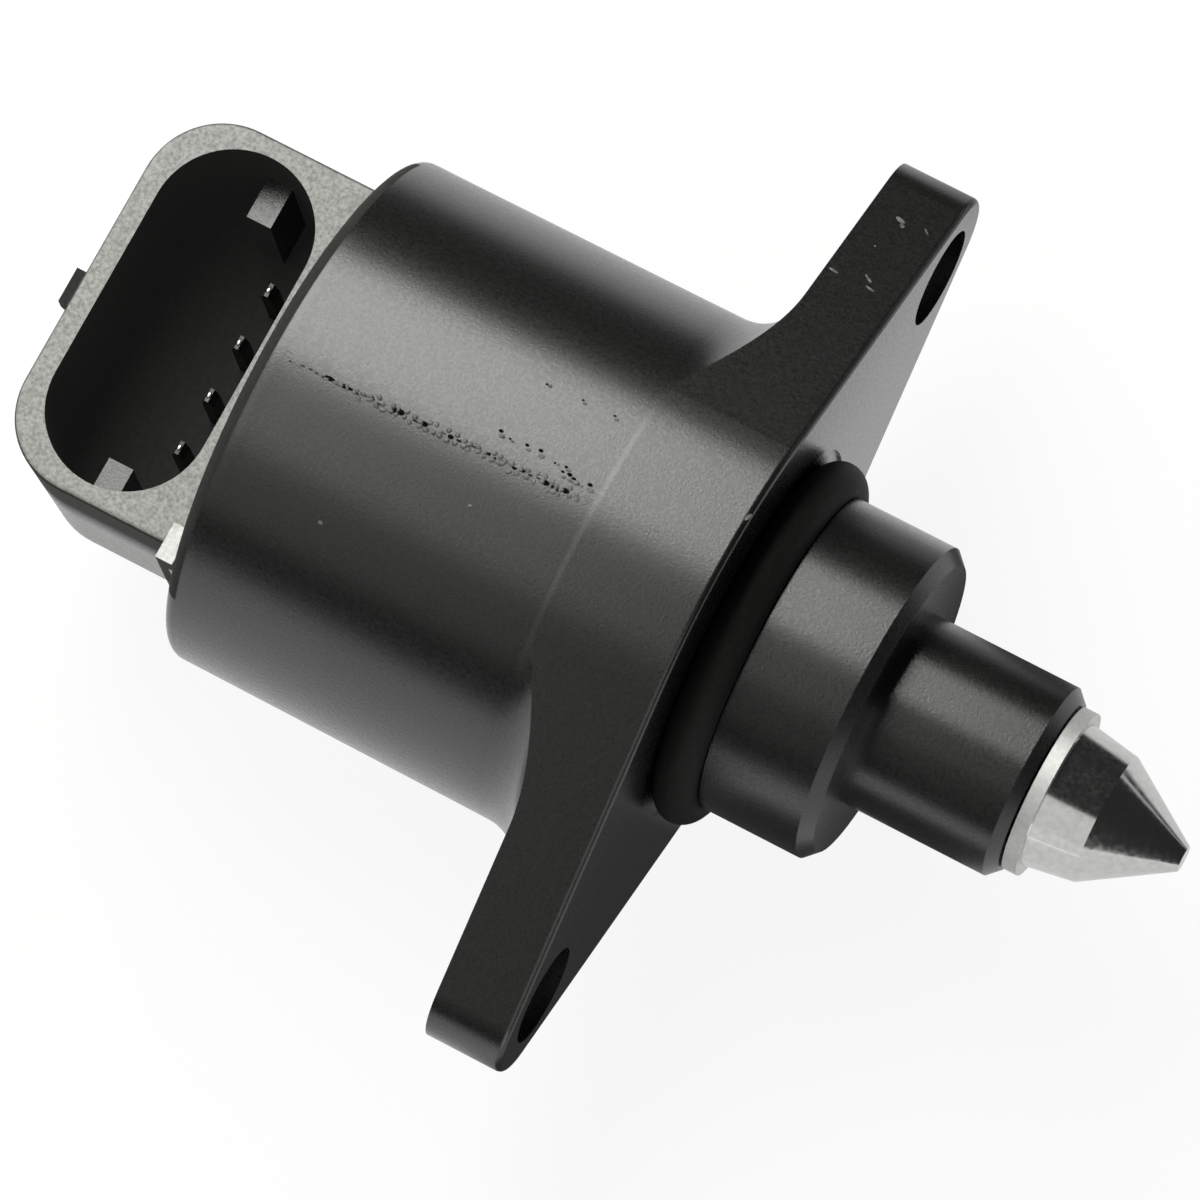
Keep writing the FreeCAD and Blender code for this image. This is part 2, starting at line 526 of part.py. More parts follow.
def make_connector_cover():
    body = new_body("connector_cover")
    seal_half = "(dims.cover_seal_tube + dims.seal_play)"
    plate = revolve(body, [
        (PLATE_REAR, "0"),
        (PLATE_REAR, BODY_REAR),
        (REAR_END, BODY_REAR),
        (REAR_END, SPIGOT),
        (f"{REAR_END} + dims.cover_seal_place - {seal_half}", SPIGOT),
        (f"{REAR_END} + dims.cover_seal_place - {seal_half}", COVER_SEAL_ROOT),
        (f"{REAR_END} + dims.cover_seal_place + {seal_half}", COVER_SEAL_ROOT),
        (f"{REAR_END} + dims.cover_seal_place + {seal_half}", SPIGOT),
        (SPIGOT_FRONT, SPIGOT),
        (SPIGOT_FRONT, SPIGOT_IN),
        (REAR_END, SPIGOT_IN),
        (REAR_END, BOSS),
        (BUSH_FRONT, BOSS),
        (BUSH_FRONT, "dims.bush_radius"),
        (REAR_END, "dims.bush_radius"),
        (REAR_END, "0"),
    ])

    def on_plate_edge(edge):
        spot = middle_of(edge)
        return close(spot.x, value(PLATE_REAR)) and close(math.hypot(spot.y, spot.z), value(BODY_REAR))

    round_edges(body, plate, "dims.cover_edge_round", on_plate_edge)
    shroud = sketch_on(body, "XY_Plane", RIM)
    socket_outline(shroud)
    block = pad(body, shroud, f"{RIM} - {SHROUD_BASE}", backwards=True)
    block.setExpression("TaperAngle", "-dims.socket_draft")
    doc.recompute()

    def behind_plate(spot):
        return spot.x < value(PLATE_REAR) - 1e-3

    def on_rim(edge):
        spot = middle_of(edge)
        return close(spot.z, value(RIM)) and behind_plate(spot)

    def on_base(edge):
        spot = middle_of(edge)
        return close(spot.z, value(SHROUD_BASE)) and behind_plate(spot)

    block = round_edges(body, block, "dims.socket_rim_round", on_rim)
    round_edges(body, block, "dims.socket_base_round", on_base)

    opening = sketch_on(body, "XY_Plane", RIM)
    socket_opening(opening)
    pocket(body, opening, "dims.socket_depth")

    keys = sketch_on(body, "XY_Plane", SOCKET_FLOOR)
    key_middle = f"({SOCKET_FRONT} + {SOCKET_REAR}) / 2"
    for sign in ("", "-"):
        outer = f"{sign}(dims.socket_span / 2 + dims.socket_end_wall / 2)"
        inner = f"{sign}(dims.socket_span / 2 - dims.key_reach)"
        low, high = (outer, inner) if sign else (inner, outer)
        add_rectangle(
            keys, f"{key_middle} - dims.key_width / 2", f"{key_middle} + dims.key_width / 2", low, high
        )
    pad(body, keys, "dims.socket_depth - dims.key_drop")

    latch = sketch_on(body, "XZ_Plane")
    latch_out = f"{SHROUD_REAR} - dims.latch_proud"
    latch_in = f"{SHROUD_REAR} + dims.socket_wall / 2"
    add_polygon(latch, [
        (latch_in, f"{RIM} - dims.socket_rim_round"),
        (latch_out, f"{RIM} - dims.socket_rim_round"),
        (latch_out, f"{RIM} - dims.latch_height / 2"),
        (SHROUD_REAR, f"{RIM} - dims.latch_height"),
        (latch_in, f"{RIM} - dims.latch_height"),
    ])
    latch.setExpression("AttachmentOffset.Base.z", "dims.latch_offset")
    pad(body, latch, "dims.latch_width", both_ways=True)

    lug = sketch_on(body, "XY_Plane", f"{SHROUD_BASE} + dims.socket_base_round")
    lug_out = f"-({SHROUD_HALF} + dims.lug_size)"
    lug_in = f"-({SHROUD_HALF} - dims.socket_end_wall)"
    add_rectangle(
        lug, f"{PLATE_REAR} - dims.lug_size", f"{PLATE_REAR} + dims.cover_plate / 2", lug_out, lug_in
    )
    pad(body, lug, f"{RIM} + dims.lug_rise - {SHROUD_BASE} - dims.socket_base_round")

    half_width = "(dims.terminal_width / 2 + dims.insert_play)"
    half_depth = "(dims.terminal_thickness / 2 + dims.insert_play)"
    upright = sketch_on(body, "XY_Plane", SOCKET_FLOOR)
    for index in range(TERMINALS):
        low, high = f"{terminal_y(index)} - {half_width}", f"{terminal_y(index)} + {half_width}"
        add_rectangle(upright, f"{TERMINAL_X} - {half_depth}", f"{TERMINAL_X} + {half_depth}", low, high)
    pocket(body, upright, f"dims.terminal_tail_drop + {half_depth}")
    tails = sketch_on(body, "YZ_Plane", REAR_END)
    for index in range(TERMINALS):
        low, high = f"{terminal_y(index)} - {half_width}", f"{terminal_y(index)} + {half_width}"
        add_rectangle(tails, low, high, f"{TAIL_Z} - {half_depth}", f"{TAIL_Z} + {half_depth}")
    pocket(body, tails, f"{REAR_END} - {TERMINAL_X} + {half_depth}")
    return body


def make_terminal(index):
    body = new_body(f"terminal_{index + 1}")
    half = "(dims.terminal_thickness / 2)"
    blade = sketch_on(body, "XZ_Plane")
    add_polygon(blade, [
        (f"{TERMINAL_X} - {half}", f"{TAIL_Z} - {half}"),
        (TAIL_END, f"{TAIL_Z} - {half}"),
        (TAIL_END, f"{TAIL_Z} + {half}"),
        (f"{TERMINAL_X} + {half}", f"{TAIL_Z} + {half}"),
        (f"{TERMINAL_X} + {half}", f"{TERMINAL_TIP} - dims.terminal_taper"),
        (f"{TERMINAL_X} + {half} / 3", TERMINAL_TIP),
        (f"{TERMINAL_X} - {half} / 3", TERMINAL_TIP),
        (f"{TERMINAL_X} - {half}", f"{TERMINAL_TIP} - dims.terminal_taper"),
    ])
    pad(body, blade, "dims.terminal_width", both_ways=True)
    body.setExpression("Placement.Base.y", terminal_y(index))
    return body


def add_claw_windows(body, along):
    """Cut the gaps that leave tapered claws on the inner sleeve of a pole plate."""
    pitch_half = "180 / dims.pole_pairs"
    root = f"({CLAW_IN} * sin(({pitch_half} - dims.claw_root_half_angle) * 1 deg))"
    tip = f"({CLAW_IN} * sin(({pitch_half} - dims.claw_tip_half_angle) * 1 deg))"
    windows = sketch_on(body, "XY_Plane")
    start, end = along("dims.pole_plate"), along(f"{PHASE} - dims.pole_plate")
    add_polygon(windows, [(start, f"-{root}"), (end, f"-{tip}"), (end, tip), (start, root)])
    cut = pocket(body, windows, f"{CLAW_OUT} + dims.bobbin_play", backwards=True)
    repeat_around_axis(body, cut, "dims.pole_pairs")


def turn_body(body, degrees):
    body.Placement = FreeCAD.Placement(FreeCAD.Vector(), FreeCAD.Rotation(FreeCAD.Vector(1, 0, 0), 1))
    body.setExpression("Placement.Rotation.Angle", degrees)


def make_stator_cup(label, face, sign, degrees):
    """Can of one phase: end plate, outer wall and claws. sign is the way that the claws point."""
    def along(distance):
        return f"({face} {sign} ({distance}))"

    body = new_body(label)
    claw_end = along(f"{PHASE} - dims.pole_plate - dims.claw_end_gap")
    revolve(body, [
        (face, CLAW_IN),
        (face, "dims.motor_radius"),
        (along(PHASE), "dims.motor_radius"),
        (along(PHASE), CAN_IN),
        (along("dims.pole_plate"), CAN_IN),
        (along("dims.pole_plate"), CLAW_OUT),
        (claw_end, CLAW_OUT),
        (claw_end, CLAW_IN),
    ])
    add_claw_windows(body, along)
    turn_body(body, degrees)
    return body


def make_stator_plate(label, sign, degrees):
    """Inner pole plate of one phase, back to back with the other phase's plate."""
    def along(distance):
        return f"({MIDDLE} {sign} ({distance}))"

    body = new_body(label)
    claw_end = along(f"{PHASE} - dims.pole_plate - dims.claw_end_gap")
    revolve(body, [
        (MIDDLE, CLAW_IN),
        (MIDDLE, f"{CAN_IN} - dims.plate_play"),
        (along("dims.pole_plate"), f"{CAN_IN} - dims.plate_play"),
        (along("dims.pole_plate"), CLAW_OUT),
        (claw_end, CLAW_OUT),
        (claw_end, CLAW_IN),
    ])
    add_claw_windows(body, along)
    turn_body(body, degrees)
    return body


def make_bobbin(label, sign):
    def along(distance):
        return f"({MIDDLE} {sign} ({distance}))"

    body = new_body(label)
    near, far = "(dims.pole_plate + dims.plate_play)", f"({PHASE} - dims.pole_plate - dims.plate_play)"
    floor = f"{BOBBIN_IN} + dims.bobbin_wall"
    revolve(body, [
        (along(near), BOBBIN_IN),
        (along(near), BOBBIN_OUT),
        (along(f"{near} + dims.bobbin_wall"), BOBBIN_OUT),
        (along(f"{near} + dims.bobbin_wall"), floor),
        (along(f"{far} - dims.bobbin_wall"), floor),
        (along(f"{far} - dims.bobbin_wall"), BOBBIN_OUT),
        (along(far), BOBBIN_OUT),
        (along(far), BOBBIN_IN),
    ])
    return body


def make_winding(label, sign):
    def along(distance):
        return f"({MIDDLE} {sign} ({distance}))"

    body = new_body(label)
    near = "(dims.pole_plate + dims.plate_play + dims.bobbin_wall)"
    far = f"({PHASE} - {near})"
    revolve(body, [
        (along(near), f"{BOBBIN_IN} + dims.bobbin_wall"),
        (along(near), f"{BOBBIN_OUT} - dims.winding_inset"),
        (along(far), f"{BOBBIN_OUT} - dims.winding_inset"),
        (along(far), f"{BOBBIN_IN} + dims.bobbin_wall"),
    ])
    return body


def make_race(label, inner, outer):
    """One ring of the ball bearing, with its groove."""
    body = new_body(label)
    revolve(body, [(FLOOR, inner), (FLOOR, outer), (BEARING_FRONT, outer), (BEARING_FRONT, inner)])
    groove = sketch_on(body, "XY_Plane")
    add_circle(groove, BEARING_MIDDLE, BALL_PITCH, "dims.ball_radius + dims.ball_play")
    turn(body, groove, "Groove")
    return body


def make_bearing_cage():
    body = new_body("bearing_cage")
    low, high = f"{BALL_PITCH} - dims.cage_half_depth", f"{BALL_PITCH} + dims.cage_half_depth"
    half = "(dims.ball_radius + dims.cage_margin)"
    rear, front = f"{BEARING_MIDDLE} - {half}", f"{BEARING_MIDDLE} + {half}"
    revolve(body, [(rear, low), (rear, high), (front, high), (front, low)])
    seat = sketch_on(body, "XY_Plane")
    add_circle(seat, BEARING_MIDDLE, "0", "dims.ball_radius + dims.ball_play / 2")
    cut = pocket(body, seat, "dims.bearing_radius", backwards=True)
    repeat_around_axis(body, cut, str(BALLS))
    return body


def make_bearing_balls():
    """Balls in the seats of the cage, the first one straight up."""
    balls = []
    for index in range(BALLS):
        ball = doc.addObject("Part::Sphere", f"ball_{index + 1}")
        ball.setExpression("Radius", "dims.ball_radius")
        ball.setExpression("Placement.Base.x", BEARING_MIDDLE)
        angle = f"({90 + 360 * index / BALLS} * 1 deg)"
        ball.setExpression("Placement.Base.y", f"{BALL_PITCH} * cos{angle}")
        ball.setExpression("Placement.Base.z", f"{BALL_PITCH} * sin{angle}")
        balls.append(ball)
    group = doc.addObject("Part::Compound", "bearing_balls")
    group.Label = "bearing_balls"
    group.Links = balls
    parts.append(group)
    return group


def make_rotor_hub():
    """Plastic hub moulded around the drive nut, with its journals and the magnet's end flanges."""
    body = new_body("rotor_hub")
    journal_rear = f"{REAR_END} + dims.journal_end_gap"
    third = "dims.nut_length / 3"
    revolve(body, [
        (journal_rear, "dims.rotor_bore_radius"),
        (journal_rear, "dims.bearing_bore_radius"),
        (ROTOR_REAR, "dims.bearing_bore_radius"),
        (ROTOR_REAR, ROTOR_FLANGE),
        (MAGNET_REAR, ROTOR_FLANGE),
        (MAGNET_REAR, "dims.magnet_bore_radius"),
        (MAGNET_FRONT, "dims.magnet_bore_radius"),
        (MAGNET_FRONT, ROTOR_FLANGE),
        (ROTOR_FRONT, ROTOR_FLANGE),
        (ROTOR_FRONT, f"{BALL_PITCH} - dims.race_shoulder"),
        (FLOOR, f"{BALL_PITCH} - dims.race_shoulder"),
        (FLOOR, "dims.bearing_bore_radius"),
        (BEARING_FRONT, "dims.bearing_bore_radius"),
        (BEARING_FRONT, "dims.rotor_bore_radius"),
        (NUT_FRONT, "dims.rotor_bore_radius"),
        (NUT_FRONT, "dims.nut_radius"),
        (f"{NUT_FRONT} - {third}", "dims.nut_radius"),
        (f"{NUT_FRONT} - {third}", NUT_GROOVE),
        (f"{NUT_REAR} + {third}", NUT_GROOVE),
        (f"{NUT_REAR} + {third}", "dims.nut_radius"),
        (NUT_REAR, "dims.nut_radius"),
        (NUT_REAR, "dims.rotor_bore_radius"),
    ])
    return body


def make_drive_nut():
    body = new_body("drive_nut")
    third = "dims.nut_length / 3"
    bore = "dims.screw_radius + dims.thread_play"
    revolve(body, [
        (NUT_REAR, bore),
        (NUT_REAR, "dims.nut_radius"),
        (f"{NUT_REAR} + {third}", "dims.nut_radius"),
        (f"{NUT_REAR} + {third}", NUT_GROOVE),
        (f"{NUT_FRONT} - {third}", NUT_GROOVE),
        (f"{NUT_FRONT} - {third}", "dims.nut_radius"),
        (NUT_FRONT, "dims.nut_radius"),
        (NUT_FRONT, bore),
    ])
    return body


def make_ring(label, rear, front, inner, outer):
    body = new_body(label)
    revolve(body, [(rear, inner), (rear, outer), (front, outer), (front, inner)])
    return body


def make_seal(label, place, middle, tube):
    """O-ring around the valve axis."""
    ring = doc.addObject("Part::Torus", label)
    ring.Label = label
    ring.setExpression("Radius1", middle)
    ring.setExpression("Radius2", tube)
    ring.Placement = FreeCAD.Placement(FreeCAD.Vector(), FreeCAD.Rotation(FreeCAD.Vector(0, 1, 0), 90))
    ring.setExpression("Placement.Base.x", place)
    parts.append(ring)
    return ring


def make_guide_bush():
    """Bush whose flat-sided bore stops the lead screw from turning."""
    body = new_body("guide_bush")
    section = sketch_on(body, "YZ_Plane", GUIDE_REAR)
    add_circle(section, "0", "0", "dims.guide_radius")
    radius = value("dims.screw_radius + dims.guide_play")
    flat = value("dims.screw_flat + dims.guide_play")
    half = math.sqrt(radius ** 2 - flat ** 2)
    turn_to_flat = math.degrees(math.asin(flat / radius))
    pieces = [
        arc(0, 0, radius, -turn_to_flat, turn_to_flat),
        line(half, flat, -half, flat),
        arc(0, 0, radius, 180 - turn_to_flat, 180 + turn_to_flat),
        line(-half, -flat, half, -flat),
    ]
    loop = [section.addGeometry(piece, False) for piece in pieces]
    for piece, after in zip(loop, loop[1:] + loop[:1]):
        section.addConstraint(Sketcher.Constraint("Coincident", piece, 2, after, 1))
    for side in (0, 2):
        place_point(section, loop[side], 3, "0", "0")
        bind(section, "Radius", loop[side], "dims.screw_radius + dims.guide_play")
    for edge, sign in ((1, ""), (3, "-")):
        section.addConstraint(Sketcher.Constraint("Horizontal", loop[edge]))
        bind(section, "DistanceY", -1, 1, loop[edge], 1, f"{sign}(dims.screw_flat + dims.guide_play)")
    pad(body, section, "dims.guide_length")
    return body


def make_lead_screw():
    body = new_body("lead_screw")
    revolve(body, [
        (ROTOR_REAR, "0"),
        (ROTOR_REAR, "dims.screw_radius"),
        (STEM_REAR, "dims.screw_radius"),
        (STEM_REAR, "dims.stub_radius"),
        (STUB_END, "dims.stub_radius"),
        (STUB_END, "0"),
    ])
    flats = sketch_on(body, "XZ_Plane")
    outside = "(dims.screw_radius + dims.guide_play)"
    add_rectangle(flats, FLAT_REAR, FLAT_FRONT, "dims.screw_flat", outside)
    add_rectangle(flats, FLAT_REAR, FLAT_FRONT, f"(-{outside})", "(-dims.screw_flat)")
    pocket(body, flats, "4 * dims.screw_radius", both_ways=True)
    return body


def make_pintle():
    body = new_body("pintle")
    revolve(body, [
        (STEM_REAR, "dims.stub_radius"),
        (STEM_REAR, "dims.stem_radius"),
        (COLLAR_REAR, "dims.stem_radius"),
        (COLLAR_REAR, "dims.collar_radius"),
        (COLLAR_FRONT, "dims.collar_radius"),
        (COLLAR_FRONT, "dims.land_rear_radius"),
        (LAND_FRONT, "dims.land_front_radius"),
        (CONE_TIP, "dims.cone_tip_radius"),
        (CONE_TIP, "0"),
        (STUB_END, "0"),
        (STUB_END, "dims.stub_radius"),
    ])
    return body


def add_half_turn(body, start, side):
    """Half a turn of the spring: the wire's circle turned about the middle of a slanting chord."""
    sketch = sketch_on(body, "XY_Plane")
    add_circle(sketch, start, f"{side} * {SPRING_MIDDLE}", "dims.wire_radius")
    across = f"{start} + {SPRING_PITCH} / 4"
    ends = [(across, "0"), (f"{across} + {SPRING_MIDDLE}", f"{side} * {SPRING_PITCH} / 4")]
    low, high = (FreeCAD.Vector(value(a), value(b), 0) for a, b in ends)
    axis = sketch.addGeometry(Part.LineSegment(low, high), True)
    for point, (along, up) in enumerate(ends, start=1):
        place_point(sketch, axis, point, along, up)
    half = body.newObject("PartDesign::Revolution", f"{body.Name}_half_turn")
    half.Profile = sketch
    half.ReferenceAxis = (sketch, ["Axis0"])
    half.Angle = 180
    doc.recompute()
    return half


def make_pintle_spring():
    """Compression spring between the guide bush and the collar of the pintle."""
    body = new_body("pintle_spring")
    over = add_half_turn(body, SPRING_REAR, "-1")
    under = add_half_turn(body, f"({SPRING_REAR} + {SPRING_PITCH} / 2)", "1")
    coils = body.newObject("PartDesign::LinearPattern", "pintle_spring_coils")
    coils.Originals = [over, under]
    coils.Direction = ([f for f in body.Origin.OriginFeatures if f.Role == "X_Axis"][0], [""])
    coils.setExpression("Length", f"{SPRING_PITCH} * (dims.spring_turns - 1)")
    coils.setExpression("Occurrences", "dims.spring_turns")
    body.Tip = coils
    doc.recompute()
    return body


def build():
    make_valve_body()
    make_connector_cover()
    for index in range(TERMINALS):
        make_terminal(index)
    make_seal("nose_seal", SEAL_X, SEAL_MIDDLE, "dims.seal_tube_radius")
    make_seal(
        "cover_seal", f"{REAR_END} + dims.cover_seal_place", COVER_SEAL_MIDDLE, "dims.cover_seal_tube"
    )

    half_pitch, quarter_pitch = "180 / dims.pole_pairs", "90 / dims.pole_pairs"
    make_stator_cup("front_stator_cup", FLOOR, "-", "0")
    make_stator_plate("front_stator_plate", "+", half_pitch)
    make_stator_plate("rear_stator_plate", "-", f"{half_pitch} + {quarter_pitch}")
    make_stator_cup("rear_stator_cup", STACK_REAR, "+", quarter_pitch)
    for label, sign in (("front", "+"), ("rear", "-")):
        make_bobbin(f"{label}_bobbin", sign)
        make_winding(f"{label}_winding", sign)

    make_race("bearing_outer_race", f"{BALL_PITCH} + dims.race_shoulder", "dims.bearing_radius")
    make_race("bearing_inner_race", "dims.bearing_bore_radius", f"{BALL_PITCH} - dims.race_shoulder")
    make_bearing_cage()
    make_bearing_balls()
    make_ring("rear_bush", REAR_END, BUSH_FRONT, BUSH_IN, "dims.bush_radius")
    make_ring("thrust_washer", BUSH_FRONT, WASHER_FRONT, BUSH_IN, "dims.washer_radius")
    make_ring("rotor_magnet", MAGNET_REAR, MAGNET_FRONT, "dims.magnet_bore_radius", "dims.rotor_radius")
    make_rotor_hub()
    make_drive_nut()
    make_guide_bush()
    make_lead_screw()
    make_pintle()
    make_pintle_spring()
    doc.recompute()


build()

for thing in doc.Objects:
    if "Invalid" in thing.State or "Error" in thing.State:
        raise RuntimeError(f"{thing.Label} did not build: {thing.State}")
for thing in parts:
    if thing.Shape.isNull() or not thing.Shape.isValid() or not thing.Shape.Solids:
        raise RuntimeError(f"{thing.Label} is not a sound solid")

os.makedirs("parts", exist_ok=True)
for thing in parts:
    thing.Shape.exportStep(f"parts/{thing.Label}.step")
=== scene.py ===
"""Looks of the idle control valve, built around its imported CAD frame. Lengths are in metres."""

import json
import math
import random

import bmesh
import bpy
from mathutils import Matrix, Vector


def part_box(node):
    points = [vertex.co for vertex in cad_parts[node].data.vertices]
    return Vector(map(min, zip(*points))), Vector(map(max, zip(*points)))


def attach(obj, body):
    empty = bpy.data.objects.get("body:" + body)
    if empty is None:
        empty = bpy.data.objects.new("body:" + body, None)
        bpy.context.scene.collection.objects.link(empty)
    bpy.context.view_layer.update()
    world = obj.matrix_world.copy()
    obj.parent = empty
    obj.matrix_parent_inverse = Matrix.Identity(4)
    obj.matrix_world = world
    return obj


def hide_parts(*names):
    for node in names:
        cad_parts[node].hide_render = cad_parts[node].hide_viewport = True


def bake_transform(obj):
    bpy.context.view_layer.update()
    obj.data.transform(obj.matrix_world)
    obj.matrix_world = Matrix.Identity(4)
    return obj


MM = 0.001
AXIS = Vector((1, 0, 0))
ACROSS = Vector((0, 1, 0))
UP = Vector((0, 0, 1))

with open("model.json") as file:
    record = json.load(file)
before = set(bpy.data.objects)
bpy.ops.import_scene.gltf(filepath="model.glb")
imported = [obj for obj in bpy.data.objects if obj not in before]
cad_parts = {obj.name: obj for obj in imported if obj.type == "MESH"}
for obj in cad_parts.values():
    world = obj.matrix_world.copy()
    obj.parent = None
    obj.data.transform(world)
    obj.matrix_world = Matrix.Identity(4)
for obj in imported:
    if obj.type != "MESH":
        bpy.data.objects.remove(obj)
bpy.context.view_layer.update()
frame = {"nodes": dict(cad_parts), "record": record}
nodes = frame["nodes"]
slot_of = {part["node"]: part["material_slot"] for part in frame["record"]["subparts"]}

# Camera, matched to the photograph, a picture of 1200 by 1200
PICTURE = 1200
SENSOR = 36.0
YAW = math.radians(10.6)
PITCH = math.radians(10.4)
ROLL = math.radians(27.13)
PIXELS_PER_MM = 16.35
ORIGIN_AT = (743.4, 634.0)
CAMERA_DISTANCE = 0.6
CLIP_START = 0.01

# Places on the frame that the details are set out from
CASE_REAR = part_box("valve_body")[0].x
HUB_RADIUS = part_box("valve_body")[1].z
CASE_REAR_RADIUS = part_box("connector_cover")[1].z
EAR_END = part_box("valve_body")[1].y


def corners(name):
    """Vertices of a CAD node, in the frame."""
    node = nodes[name]
    return [node.matrix_world @ vertex.co for vertex in node.data.vertices]


# How far from an end or an edge a vertex may lie and still belong to it
EAR_END_BAND = 0.5 * MM
SOCKET_REAR_BAND = 2 * MM
RIB_BELOW_RIM = 4 * MM
RIB_BEHIND_CASE = 3 * MM

FLANGE_REAR = min(at.x for at in corners("valve_body") if at.y > EAR_END - EAR_END_BAND)
SOCKET_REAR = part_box("connector_cover")[0].x
RIM_Z = max(at.z for at in corners("connector_cover") if at.x < SOCKET_REAR + SOCKET_REAR_BAND)
RIB_Z = max(
    at.z for at in corners("connector_cover")
    if at.z < RIM_Z - RIB_BELOW_RIM and at.x < CASE_REAR - RIB_BEHIND_CASE
)

# Sizes of the CAD that are not read from the frame
EAR_TIP_RADIUS = 4.0 * MM
COVER_PLATE = 1.2 * MM
LATCH_PROUD = 0.65 * MM
SPRING_END_PLAY = 0.05 * MM
COLLAR_THICKNESS = 0.95 * MM
SPRING_TURNS = 7

PLATE_REAR = CASE_REAR - COVER_PLATE
COLLAR_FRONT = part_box("pintle_spring")[1].x + SPRING_END_PLAY + COLLAR_THICKNESS

# A point inside the socket, which its inner walls face
SOCKET_MIDDLE_BACK = 8.7 * MM
SOCKET_MIDDLE_DOWN = 6.5 * MM
SOCKET_MIDDLE = (CASE_REAR - SOCKET_MIDDLE_BACK, 0, RIM_Z - SOCKET_MIDDLE_DOWN)

# Mould flash along the top of the case: its line runs slightly aslant from rear to front
FLASH_REAR = CASE_REAR + 0.8 * MM
FLASH_FRONT = -9.2 * MM
FLASH_SIDE = -1.0 * MM
FLASH_SLANT = 0.5 * MM
FLASH_FADE_START = CASE_REAR + 2 * MM
FLASH_FADE = 5 * MM
FLASH_LEAST = 0.12
BEAD_HEIGHT = 0.07 * MM
SPECK_HEIGHT = 0.04 * MM
# Height of the dark low lumps that paint the shadow in pits
PIT_SHADOW_HEIGHT = 0.012 * MM
LUMP_CLEARANCE = 0.004 * MM
# Rows of specks beside the line: first place along X, place in Y, count and step, in mm
SPECK_ROWS = ((-15.9, 0.95, 6, 0.95), (-11.2, 0.45, 5, 0.4), (-14.9, 5.15, 3, 2.3))
# Lone specks on the case, X and Y in mm
LONE_SPECKS = ((-15.3, -3.85), (-23.2, -8.56))
LONE_SPECK_SIZE = (0.36 * MM, 0.24 * MM)

# Marks on the side of the upper ear: X, Y, length and width in mm, turn in radians
EAR_MARKS = (
    (-3.05, 26.5, 0.75, 0.35, 1.9),
    (-2.75, 26.2, 0.4, 0.3, 2.4),
    (-2.55, 21.7, 0.8, 0.22, 2.2),
    (-2.1, 21.1, 0.7, 0.2, 1.8),
    (-4.6, 21.1, 0.7, 0.22, 1.7),
    (-1.3, 26.6, 0.6, 0.12, 2.3),
    (-3.4, 24.0, 0.16, 0.12, 1.0),
)
MARK_HEIGHT = 0.02 * MM
# Nicks in the front edge of the hub, X and Y in mm
HUB_NICKS = ((-0.23, 3.2), (-1.3, 4.86))
NICK_ALONG = Vector((0.5, 1, 0))
NICK_SIZE = (0.7 * MM, 0.3 * MM)
NICK_HEIGHT = 0.03 * MM

# Painted highlights on the terminal tips: length, width and height, and how far behind and below the tip
TIP_SIZE = (0.46 * MM, 0.34 * MM, 0.09 * MM)
TIP_BACK = 0.15 * MM
TIP_SINK = 0.01 * MM

# Weld film over the joint of the case and its cover: rings from rear to front, place and sink in mm
WELD_RINGS = ((-0.38, 0.012), (-0.2, 0), (0.2, 0), (1.2, 0.012))
WELD_PROUD = 0.005 * MM

# Light and floor of the studio
WARM_WHITE = (1.0, 0.995, 0.965)
WHITE = (1, 1, 1)
PANEL_DISTANCE = 0.36
PANEL_REAR = -0.30
FLOOR_SIZE = 4
FLOOR_GAP = 0.05 * MM
PAPER_COLOUR = (0.85, 0.85, 0.84, 1)
FLOOR_GLOW = 1.04
FLOOR_GLOW_SHARE = 0.86
# Glow of the floor's painted reflection, and the share of it left in its painted shadow
MIRRORED_FLOOR = 1.0
MIRRORED_SHADE = 0.08
WORLD_LIGHT = 0.025


def link(piece):
    bpy.context.scene.collection.objects.link(piece)


def turned(first, second, third):
    """Matrix that turns X, Y and Z to three directions."""
    return Matrix((first, second, third)).transposed().to_4x4()


def camera_axes():
    """The picture's right, its up and the way to the camera, in the frame."""
    away = math.sqrt(1 - math.sin(YAW) ** 2 - math.sin(PITCH) ** 2)
    towards = Vector((math.sin(YAW), -math.sin(PITCH), away))
    along = (AXIS - towards * towards.x).normalized()
    across = towards.cross(along)
    right = along * math.cos(ROLL) + across * math.sin(ROLL)
    up = across * math.cos(ROLL) - along * math.sin(ROLL)
    return right, up, towards


def add_camera():
    right, up, towards = camera_axes()
    scale = PIXELS_PER_MM / MM
    aim = right * ((PICTURE / 2 - ORIGIN_AT[0]) / scale) + up * ((ORIGIN_AT[1] - PICTURE / 2) / scale)
    data = bpy.data.cameras.new("camera")
    data.sensor_width = SENSOR
    data.lens = SENSOR * CAMERA_DISTANCE * scale / PICTURE
    data.clip_start = CLIP_START
    camera = bpy.data.objects.new("camera", data)
    camera.matrix_world = Matrix.Translation(aim + towards * CAMERA_DISTANCE) @ turned(right, up, towards)
    link(camera)
    bpy.context.scene.camera = camera


# Building blocks of the materials
def new_material(name, colour, roughness, metallic=0.0, specular=0.5):
    """Material with one Principled shader, and the things needed to build detail on it."""
    material = bpy.data.materials.new(name)
    material.use_nodes = True
    tree = material.node_tree
    shader = tree.nodes["Principled BSDF"]
    shader.inputs["Base Color"].default_value = (*colour, 1)
    shader.inputs["Roughness"].default_value = roughness
    shader.inputs["Metallic"].default_value = metallic
    shader.inputs["Specular IOR Level"].default_value = specular
    return material, tree, shader


def object_place(tree, scale=(1, 1, 1)):
    """Place on the object, in metres, stretched by a scale for each axis."""
    place = tree.nodes.new("ShaderNodeTexCoord")
    mapping = tree.nodes.new("ShaderNodeMapping")
    mapping.inputs["Scale"].default_value = scale
    tree.links.new(place.outputs["Object"], mapping.inputs["Vector"])
    return mapping.outputs["Vector"]


